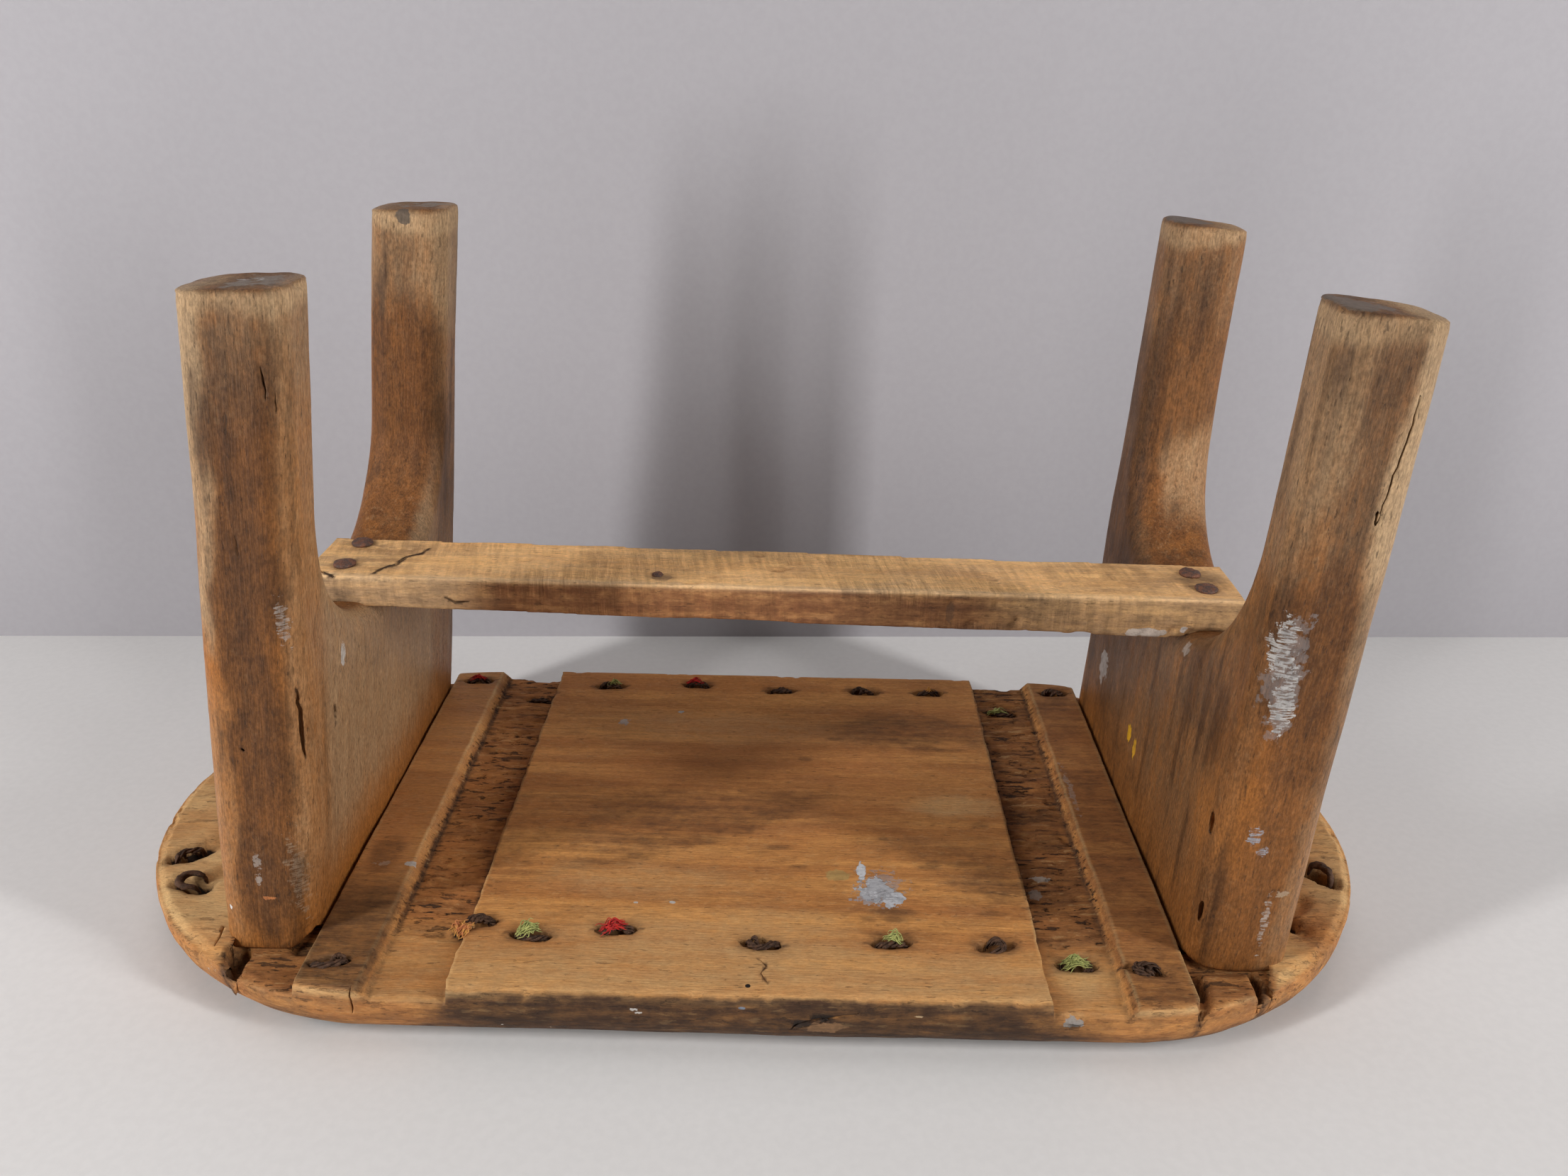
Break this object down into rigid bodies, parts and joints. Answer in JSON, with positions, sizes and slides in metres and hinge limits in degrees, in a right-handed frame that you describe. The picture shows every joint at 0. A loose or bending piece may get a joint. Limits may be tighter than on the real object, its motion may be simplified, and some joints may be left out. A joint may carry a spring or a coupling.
{
  "type": "low wooden stool",
  "caption": "Low round-ended wooden stool shown upside down: forked leg slabs in dovetail trenches, a nailed stretcher bar, and thong loops laced round the rim.",
  "frame": {"origin": "centre of the footprint, on the sitting face, which lies on the ground as pictured", "axes": "+X along the seat, +Y across the seat to the back of the picture, +Z from the sitting face to the soles; in use the stool is turned half round about X"},
  "size_m": [0.5364, 0.25, 0.2845],
  "materials": {
    "seat_wood": "worn, oiled by handling",
    "slab_wood": "worn, half polished",
    "stretcher_wood": "rough sawn",
    "iron": "dark rust",
    "thong_leather": "dry and dark with age",
    "red_wool": "faded yarn",
    "green_wool": "faded yarn",
    "orange_wool": "faded yarn"
  },
  "bodies": {
    "root": {"back_green_wool_3": "green_wool", "back_green_wool_8": "green_wool", "back_orange_wool_7": "orange_wool", "back_red_wool_1": "red_wool", "back_red_wool_4": "red_wool", "back_thong_1": "thong_leather", "back_thong_2": "thong_leather", "back_thong_3": "thong_leather", "back_thong_4": "thong_leather", "back_thong_5": "thong_leather", "back_thong_6": "thong_leather", "back_thong_7": "thong_leather", "back_thong_8": "thong_leather", "back_thong_9": "thong_leather", "front_green_wool_3": "green_wool", "front_green_wool_6": "green_wool", "front_green_wool_8": "green_wool", "front_orange_wool_2": "orange_wool", "front_red_wool_4": "red_wool", "front_thong_1": "thong_leather", "front_thong_2": "thong_leather", "front_thong_3": "thong_leather", "front_thong_4": "thong_leather", "front_thong_5": "thong_leather", "front_thong_6": "thong_leather", "front_thong_7": "thong_leather", "front_thong_8": "thong_leather", "front_thong_9": "thong_leather", "left_back_nail": "iron", "left_front_nail": "iron", "left_leg_slab": "slab_wood", "left_thong_1": "thong_leather", "left_thong_2": "thong_leather", "left_thong_3": "thong_leather", "left_thong_4": "thong_leather", "left_thong_5": "thong_leather", "right_back_nail": "iron", "right_front_nail": "iron", "right_leg_slab": "slab_wood", "right_thong_1": "thong_leather", "right_thong_2": "thong_leather", "right_thong_3": "thong_leather", "right_thong_4": "thong_leather", "seat_board": "seat_wood", "stretcher": "stretcher_wood", "stretcher_middle_nail": "iron"}
  },
  "joints": []
}
